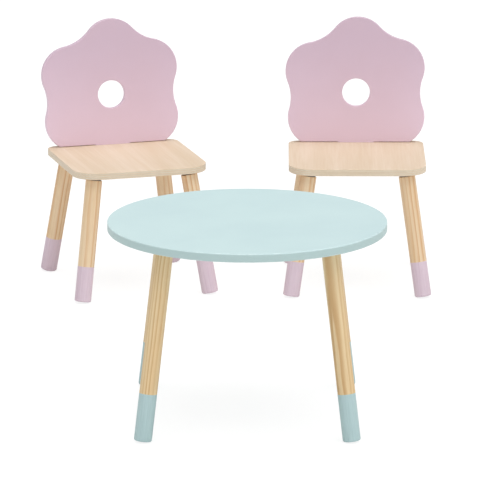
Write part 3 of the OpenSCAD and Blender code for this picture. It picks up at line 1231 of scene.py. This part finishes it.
@dataclass(frozen=True)
class Chair:
    """One chair.

    Attributes:
        body: The CAD body it is.
        seat: Its seat.
        back: Its flower back.
        legs: Its legs.
        pocket_r: Radius of the pockets under the seat for the back bolts' heads.
        head_r: Radius of a bolt's head.
        head_sink: From the seat's underside up to the pocket's end.
        head_t: Thickness of a head.
        socket_r: From the middle of a head's hexagon socket to its flats.
        socket_depth: Depth of the socket.
        past_nut: How far the bolt reaches past its nut.
    """

    body: str
    legs: LegSet
    seat: Seat = Seat()
    back: FlowerBack = FlowerBack()
    pocket_r: float = 6.5
    head_r: float = 6.0
    head_sink: float = 5.0
    head_t: float = 3.5
    socket_r: float = 2.3
    socket_depth: float = 2.2
    past_nut: float = 3.0

    STEPS = 48
    SOCKET_CONE = 0.6
    SOCKET_EASE = 0.25
    HEAD_EASE = 0.8
    EASE = 0.3
    SHANK_BEVEL = 1.0
    HOLD = 0.2
    NUT_EASE = 0.5
    # Height above the seat over which the back's painted light fades out.
    PAINTED_LIGHT_HEIGHT = 260.0
    CUTTER_REACH = 20.0
    GROOVE_R = 0.6
    GROOVE_HALF = 6.0
    GROOVE_STRETCH = 2.2

    def lean_back(self, points: np.ndarray) -> np.ndarray:
        """Leans points of the panel's frame back and puts them on the seat."""
        a = math.radians(self.back.lean)
        x, y, z = points.T
        rear = self.seat.depth / 2 - self.back.inset
        return np.column_stack([x, y * math.cos(a) + z * math.sin(a) + rear,
                                -y * math.sin(a) + z * math.cos(a) + self.seat.height
                                + self.seat.rest_gap])

    def bolt(self) -> Surface:
        """A back bolt: hexagon socket, domed head and shank, as one profile carried round.

        The radius is the profile's, but for the socket's wall, which is a hexagon's:
        its flat's distance divided by the cosine of the turn from the flat's middle.

        Returns:
            The surface, its axis upright at the middle.
        """
        low = -self.seat.thickness + self.head_sink - self.head_t - self.seat.rest_gap
        high = low + self.head_t
        tip = self.back.nut_rise + self.back.nut_r + self.past_nut
        s, d, h, r = self.socket_r, self.socket_depth, self.head_r, self.back.bolt_r
        lip, dome, ease, bevel = self.SOCKET_EASE, self.HEAD_EASE, self.EASE, self.SHANK_BEVEL
        profile = np.vstack([
            [[0, low + d + self.SOCKET_CONE], [s * 0.995, low + d], [s, low + d - 0.05],
             [s, low + lip], [s + lip, low], [h - dome - self.HOLD, low]],
            arc((h - dome, low + dome), dome, -90, 0, 5),
            [[h, high - ease], [h - ease, high], [r + ease, high], [r, high + ease],
             [r, tip - bevel], [r - bevel, tip], [0, tip]],
        ])
        made = turned(profile, self.STEPS)
        radius = np.hypot(made.points[:, 0], made.points[:, 1])
        angle = np.arctan2(made.points[:, 1], made.points[:, 0])
        flat = np.mod(angle, math.pi / 3) - math.pi / 6
        hexagon = (radius > 1e-6) & (radius < s + 0.01) & (made.points[:, 2] < low + d + 0.1)
        made.points[hexagon, :2] *= (1 / np.cos(flat[hexagon]))[:, None]
        return made

    def nut(self) -> Surface:
        """A barrel nut: a short turned bar with eased ends, its face towards the panel's rear."""
        back = self.back
        length = back.thickness - back.nut_cover - back.nut_sink - self.seat.rest_gap
        r, e = self.back.nut_r, self.NUT_EASE
        profile = np.vstack([
            [[0, 0], [r - e - self.HOLD, 0]], arc((r - e, e), e, -90, 0, 5), [[r, length - e]],
            arc((r - e, length - e), e, 0, 90, 5), [[0, length]],
        ])
        return turned(profile, self.STEPS)

    def build(self, place: Place, steel: bpy.types.Material, zinc: bpy.types.Material,
              seed_shift: float) -> None:
        """Makes the chair's pieces.

        Args:
            place: Where the chair stands.
            steel: Material of washers and nuts.
            zinc: Material of the back bolts.
            seed_shift: Shift of the wood's pattern, in metres.
        """
        seat, back, name = self.seat, self.back, self.body
        ply = Plywood(f"birch_plywood_{name}", Place(place.x + seed_shift, place.y, place.turn),
                      (seat.height - seat.thickness) * MM, seat.thickness * MM).build()
        board = seat.surface(back)
        board.points = place.to_row(board.points)
        seat_piece = put(board, f"{name}_seat_board", name, Slot.PLYWOOD, ply, f"{name}_seat")
        pockets = []
        for side in (-1, 1):
            pocket = rod_between(self.pocket_r, -seat.thickness - self.CUTTER_REACH,
                                 -seat.thickness + self.head_sink)
            pocket.points = place.to_row(self.lean_back(
                pocket.points + [side * back.nut_x, -back.thickness / 2, 0]))
            pockets.append(pocket)
        cut(seat_piece, pockets)

        # The lighter lower tone is painted light: the back is painted lighter towards the seat to
        # offset the shade there.
        paint = Paint(f"pink_satin_paint_{name}", tone="#D1B8C9", cloud_tone="#D5B9C8",
                      painted_lighting_tone="#E8CDDD", rub_tone="#E4CEDA", centre=place,
                      base=seat.height * MM, height=self.PAINTED_LIGHT_HEIGHT * MM).build()
        panel = back.surface(seat.thickness)
        panel.points = place.to_row(self.lean_back(panel.points))
        back_piece = put(panel, f"{name}_flower_back", name, Slot.PINK_PAINT, paint, f"{name}_back")
        bores = []
        for side in (-1, 1):
            bore = rod_between(back.nut_bore_r, -1.0, back.thickness - back.nut_cover)
            bore.points = self._behind(bore.points, side, 0.0)
            bore.points = place.to_row(self.lean_back(bore.points))
            bores.append(bore)
        cut(back_piece, bores)

        self._fixings(place, steel, zinc)
        wood = DippedPine(f"pine_dipped_pink_{name}", dip_tone="#DAC8D3", dip_shade="#C9B0C0",
                          dip=self.legs.dip * MM, pale="#EBD5B5", late="#CC9560").build()
        self.legs.build(name, place, wood, Slot.CHAIR_PINE, steel)

    def _behind(self, points: np.ndarray, side: int, sink: float) -> np.ndarray:
        """Turns an upright bar to point from the panel's rear face forwards, at a nut's place."""
        x, y, z = points.T
        return np.column_stack([x + side * self.back.nut_x, -z - sink, y + self.back.nut_rise])

    def _fixings(self, place: Place, steel: bpy.types.Material, zinc: bpy.types.Material) -> None:
        """Makes the back bolts and the slotted barrel nuts, each pair as one piece."""
        bolts, nuts, slots = [], [], []
        for side in (-1, 1):
            bolt = self.bolt()
            bolt.points = bolt.points + [side * self.back.nut_x, -self.back.thickness / 2, 0]
            nut = self.nut()
            nut.points = self._behind(nut.points, side, self.back.nut_sink)
            groove = rod_between(self.GROOVE_R, -self.GROOVE_HALF, self.GROOVE_HALF, 4)
            groove.points = groove.points * [1.0, self.GROOVE_STRETCH, 1.0]
            groove.points = groove.points + [side * self.back.nut_x, -self.back.nut_sink,
                                             self.back.nut_rise]
            bolts.append(bolt)
            nuts.append(nut)
            slots.append(groove)
        for surface in bolts + nuts + slots:
            surface.points = place.to_row(self.lean_back(surface.points))
        put(joined(bolts), f"{self.body}_socket_bolts", self.body, Slot.ZINC_STEEL, zinc,
            f"{self.body}_back_bolts")
        piece = put(joined(nuts), f"{self.body}_slotted_nuts", self.body, Slot.DARK_STEEL, steel,
                    f"{self.body}_barrel_nuts")
        cut(piece, slots)


def joined(surfaces: Sequence[Surface]) -> Surface:
    """Several closed surfaces as one, each with its faces outwards.

    Args:
        surfaces: The surfaces, which keep no values.

    Returns:
        One surface.
    """
    points, faces, count = [], [], 0
    for surface in surfaces:
        points.append(surface.outward().points)
        faces += [block + count for block in surface.faces]
        count += len(surface.points)
    return Surface(np.vstack(points), faces)


# ---------- studio ----------


@dataclass(frozen=True)
class Studio:
    """Plain floor, soft light and the camera.

    Attributes:
        away: From the table's middle to the camera, in metres.
        aside: The camera's step to the side, in metres.
        up: The camera's height, in metres.
        pitch: Its tilt below the horizon, in degrees.
        lens: Its focal length in millimetres on a 36 mm sensor.
        floor_half: Half the floor's side, in metres.
        floor_lift: Share of even white that keeps the floor's shadows faint.
        dome: Strength of the even light from all round.
        key: Strength of the overhead light.
        side: Strength of the side light.
        front: Strength of the front light.
    """

    away: float = 9.0
    aside: float = -0.015
    up: float = 2.587
    pitch: float = 13.82
    lens: float = 335.3
    floor_half: float = 90.0
    floor_lift: float = 0.78
    dome: float = 0.42
    key: float = 2.12
    side: float = 0.35
    front: float = 0.3

    SOFTNESS = 60
    KEY_LEAN = (8, 40)
    SIDE_LEAN = (60, 50)
    FRONT_LEAN = (82, -12)
    GLOW = 1.1
    SENSOR = 36.0

    def build_floor(self) -> None:
        """A wide pale floor, clear when seen from below."""
        h = self.floor_half
        mesh = bpy.data.meshes.new("studio_floor")
        mesh.from_pydata([(-h, -h, 0), (h, -h, 0), (h, h, 0), (-h, h, 0)], [], [(0, 1, 2, 3)])
        floor = bpy.data.objects.new("studio_floor", mesh)
        bpy.context.scene.collection.objects.link(floor)
        b = Board("pale_floor")
        at = b.out(b.add("ShaderNodeTexCoord"), "Object")
        tone = b.mix(b.noise(at, 1.3, 2.0), colour("#F6F6F5"), colour("#F9F9F8"))
        paint = b.out(b.add("ShaderNodeBsdfDiffuse", {}, {"Color": tone}))
        glow = b.out(b.add("ShaderNodeEmission", {}, {"Strength": self.GLOW}))
        seen = b.out(b.add("ShaderNodeLightPath"), "Is Camera Ray")
        lit = b.out(b.add("ShaderNodeMixShader", {}, {0: seen * self.floor_lift, 1: paint, 2: glow}))
        clear = b.out(b.add("ShaderNodeBsdfTransparent"))
        below = b.out(b.add("ShaderNodeNewGeometry"), "Backfacing")
        both = b.add("ShaderNodeMixShader", {}, {0: below, 1: lit, 2: clear})
        b.add("ShaderNodeOutputMaterial", {}, {"Surface": b.out(both)})
        mesh.materials.append(b.material)

    def build_light(self) -> None:
        """An even dome before a white backdrop, and three very soft suns."""
        world = bpy.data.worlds.new("studio_dome")
        bpy.context.scene.world = world
        world.use_nodes = True
        tree = world.node_tree
        tree.nodes.clear()
        seen = tree.nodes.new("ShaderNodeLightPath")
        strength = tree.nodes.new("ShaderNodeMapRange")
        background = tree.nodes.new("ShaderNodeBackground")
        output = tree.nodes.new("ShaderNodeOutputWorld")
        background.inputs["Color"].default_value = (1.0, 1.0, 1.0, 1.0)
        strength.inputs["To Min"].default_value = self.dome
        strength.inputs["To Max"].default_value = 1.0
        tree.links.new(seen.outputs["Is Camera Ray"], strength.inputs["Value"])
        tree.links.new(strength.outputs[0], background.inputs["Strength"])
        tree.links.new(background.outputs[0], output.inputs["Surface"])
        self._sun("key_light", self.key, self.KEY_LEAN, (1.0, 1.0, 1.0))
        self._sun("side_light", self.side, self.SIDE_LEAN, (1.0, 0.985, 0.96))
        self._sun("front_light", self.front, self.FRONT_LEAN, (0.97, 0.99, 1.0))

    def _sun(self, name: str, strength: float, lean: tuple[float, float],
             tint: tuple[float, float, float]) -> None:
        """Adds a soft sun, SOFTNESS degrees across.

        Args:
            name: Its name.
            strength: Its strength.
            lean: Its angle from overhead towards the front, and its turn to the right, in degrees.
            tint: Its colour.
        """
        light = bpy.data.lights.new(name, "SUN")
        light.energy, light.angle, light.color = strength, math.radians(self.SOFTNESS), tint
        lamp = bpy.data.objects.new(name, light)
        lamp.rotation_euler = (math.radians(lean[0]), 0.0, math.radians(lean[1]))
        bpy.context.scene.collection.objects.link(lamp)

    def build_camera(self, place: Place) -> None:
        """The camera, set off from the table's middle.

        Args:
            place: The table's place.
        """
        data = bpy.data.cameras.new("camera")
        data.lens, data.sensor_width = self.lens, self.SENSOR
        data.clip_start, data.clip_end = 0.1, 400.0
        camera = bpy.data.objects.new("camera", data)
        camera.location = (place.x + self.aside, place.y - self.away, self.up)
        camera.rotation_euler = (math.radians(90 - self.pitch), 0.0, 0.0)
        bpy.context.scene.collection.objects.link(camera)
        bpy.context.scene.camera = camera
        bpy.context.scene.view_settings.view_transform = "Standard"


def dress_nodes(material: bpy.types.Material, names: Sequence[str]) -> None:
    """Gives CAD nodes a new material.

    Args:
        material: The material.
        names: The nodes' names.
    """
    for name in names:
        data = frame["nodes"][name].data
        data.materials.clear()
        data.materials.append(material)
        log.info("%s: CAD node dressed in %s", name, material.name)


def main() -> None:
    """Builds the studio, the table and both chairs."""
    logging.basicConfig(level=logging.INFO, format="%(name)s: %(message)s", force=True)
    studio = Studio()
    table_at = table_place()
    studio.build_camera(table_at)
    studio.build_light()
    studio.build_floor()

    steel = Metal("dark_steel", "#34353A", "#5A5C62", 0.48).build()
    zinc = Metal("zinc_plated_steel", "#AEB3B9", "#C9CDD2", 0.34).build()
    Table().build(table_at, steel)
    chair_legs = {"reach_x": 112.0, "reach_y": 120.0, "underside": 284.0, "diameter": 38.0,
                  "tilt": 11.4, "dip": 81.0}
    for k, body in enumerate(("chair_left", "chair_right")):
        chair = Chair(body, LegSet(seed=23 + 14 * k, **chair_legs))
        chair.build(chair_place(body), steel, zinc, 0.37 * k)
    dress_nodes(zinc, [f"{owner}_{part}" for owner in ("table", "chair_left", "chair_right")
                       for part in ("inserts", "hanger_bolts")])


if __name__ == "__main__":
    main()
